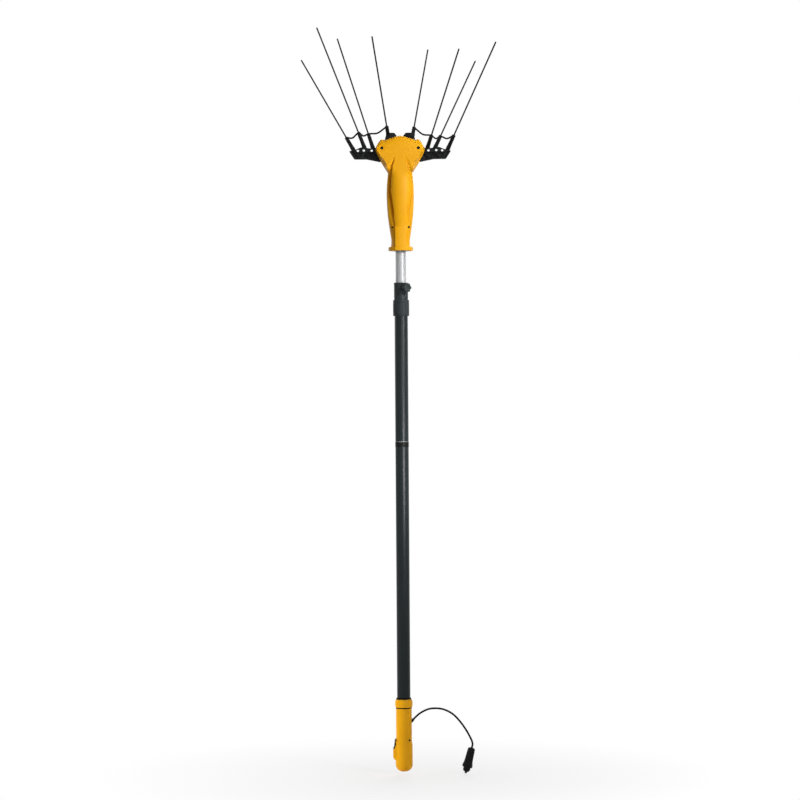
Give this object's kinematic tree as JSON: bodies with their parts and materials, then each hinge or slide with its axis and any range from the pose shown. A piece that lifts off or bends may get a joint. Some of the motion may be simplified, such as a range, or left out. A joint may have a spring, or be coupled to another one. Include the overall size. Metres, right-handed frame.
{
  "type": "electric olive harvester",
  "caption": "Electric olive harvester with a trigger grip, telescopic pole, geared motor head and rocking combs of splayed tines, on a short plugged lead.",
  "frame": {"origin": "on the pole's axis at the middle of the hand grip", "axes": "+Z along the pole towards the combs, +X to the side the lead leaves, -Y towards the front of the head"},
  "size_m": [0.5603, 0.4744, 2.1284],
  "materials": {
    "yellow_plastic": "injection-moulded, satin gloss",
    "black_plastic": "moulded, fine texture",
    "charcoal_plastic": "glass-filled nylon, matt",
    "rubber": "matt rubber",
    "charcoal_tube": "powder-coated aluminium tube",
    "bare_aluminium": "drawn tube, fine lengthwise lines",
    "cast_aluminium": "cast and machined",
    "steel": "ground steel",
    "blackened_steel": "black oxide",
    "motor_steel": "zinc-plated can",
    "copper_winding": "varnished copper windings",
    "brass_contact": "plated contact",
    "board_green": "glass-epoxy board",
    "bush_plastic": "natural acetal",
    "tine_composite": "pultruded carbon rod"
  },
  "bodies": {
    "pole": {"handle_front_shell": "yellow_plastic", "handle_rear_shell": "yellow_plastic", "handle_collar": "yellow_plastic", "handle_gasket": "rubber", "handle_screws": "blackened_steel", "trigger_pin": "steel", "trigger_spring": "steel", "micro_switch": "black_plastic", "control_board": "board_green", "cable_grommet": "rubber", "power_cord": "rubber", "plug_body": "black_plastic", "plug_nose": "black_plastic", "plug_tip": "brass_contact", "plug_contacts": "brass_contact", "outer_tube": "charcoal_tube", "tube_band": "black_plastic", "clamp_sleeve": "charcoal_plastic", "clamp_jaw": "charcoal_plastic"},
    "trigger": {"trigger": "black_plastic"},
    "clamp_knob": {"clamp_knob": "charcoal_plastic", "clamp_stud": "steel"},
    "mast": {"head_front_shell": "yellow_plastic", "head_rear_shell": "yellow_plastic", "head_screws": "blackened_steel", "head_frame": "cast_aluminium", "pivot_shafts": "steel", "pivot_bushes": "brass_contact", "guide_rods": "steel", "motor_can": "motor_steel", "ring_gear": "steel", "shaft_bearing": "steel", "tube_socket": "cast_aluminium", "inner_tube": "bare_aluminium", "guide_bush": "bush_plastic"},
    "left_comb": {"left_rocker": "steel", "left_palm": "black_plastic", "left_link": "black_plastic", "left_tine_1": "tine_composite", "left_tine_2": "tine_composite", "left_tine_3": "tine_composite", "left_tine_4": "tine_composite"},
    "right_comb": {"right_rocker": "steel", "right_palm": "black_plastic", "right_link": "black_plastic", "right_tine_1": "tine_composite", "right_tine_2": "tine_composite", "right_tine_3": "tine_composite", "right_tine_4": "tine_composite"},
    "slider": {"drive_slider": "cast_aluminium", "slider_pin": "steel"},
    "crank": {"eccentric_shaft": "steel", "eccentric_bearing": "steel"},
    "rotor": {"motor_rotor": "copper_winding", "sun_pinion": "steel"},
    "planet_gear_1": {"planet_1": "steel"},
    "planet_gear_2": {"planet_2": "steel"},
    "planet_gear_3": {"planet_3": "steel"}
  },
  "joints": [
    {"name": "pole_extension", "type": "slide", "parent": "pole", "child": "mast", "axis": [0, 0, 1], "range_m": [-0.075, 0.78]},
    {"name": "left_comb_rock", "type": "hinge", "parent": "mast", "child": "left_comb", "pos_m": [-0.052, 0, 1.675], "axis": [0, 1, 0], "range_deg": [-6, 6]},
    {"name": "right_comb_rock", "type": "hinge", "parent": "mast", "child": "right_comb", "pos_m": [0.052, 0, 1.675], "axis": [0, 1, 0], "range_deg": [-6.5, 6.5]},
    {"name": "slider_stroke", "type": "slide", "parent": "mast", "child": "slider", "axis": [1, 0, 0], "range_m": [-0.0035, 0.0035]},
    {"name": "crank_spin", "type": "hinge", "parent": "mast", "child": "crank", "pos_m": [0, 0, 1.632], "axis": [0, 0, 1], "continuous": true},
    {"name": "rotor_spin", "type": "hinge", "parent": "mast", "child": "rotor", "pos_m": [0, 0, 1.632], "axis": [0, 0, 1], "continuous": true},
    {"name": "planet_spin_1", "type": "hinge", "parent": "crank", "child": "planet_gear_1", "pos_m": [0.0135, 0, 1.547], "axis": [0, 0, 1], "continuous": true},
    {"name": "planet_spin_2", "type": "hinge", "parent": "crank", "child": "planet_gear_2", "pos_m": [-0.00675, 0.01169, 1.547], "axis": [0, 0, 1], "continuous": true},
    {"name": "planet_spin_3", "type": "hinge", "parent": "crank", "child": "planet_gear_3", "pos_m": [-0.00675, -0.01169, 1.547], "axis": [0, 0, 1], "continuous": true},
    {"name": "clamp_knob_turn", "type": "hinge", "parent": "pole", "child": "clamp_knob", "pos_m": [0, 0, 1.27781], "axis": [0.5, -0.866, 0], "range_deg": [0, 540]},
    {"name": "trigger_pull", "type": "hinge", "parent": "pole", "child": "trigger", "pos_m": [-0.0215, 0, -0.01401], "axis": [0, -1, 0], "range_deg": [0, 7], "stiffness_Nm_per_rad": 1.2, "springref_deg": -5.73}
  ],
  "couplings": [
    {"joint": "right_comb_rock", "follows": "left_comb_rock", "ratio": -1},
    {"joint": "slider_stroke", "follows": "left_comb_rock", "m_per_rad": -0.0289},
    {"joint": "rotor_spin", "follows": "crank_spin", "ratio": 5},
    {"joint": "planet_spin_1", "follows": "crank_spin", "ratio": -2.6667},
    {"joint": "planet_spin_2", "follows": "crank_spin", "ratio": -2.6667},
    {"joint": "planet_spin_3", "follows": "crank_spin", "ratio": -2.6667}
  ]
}
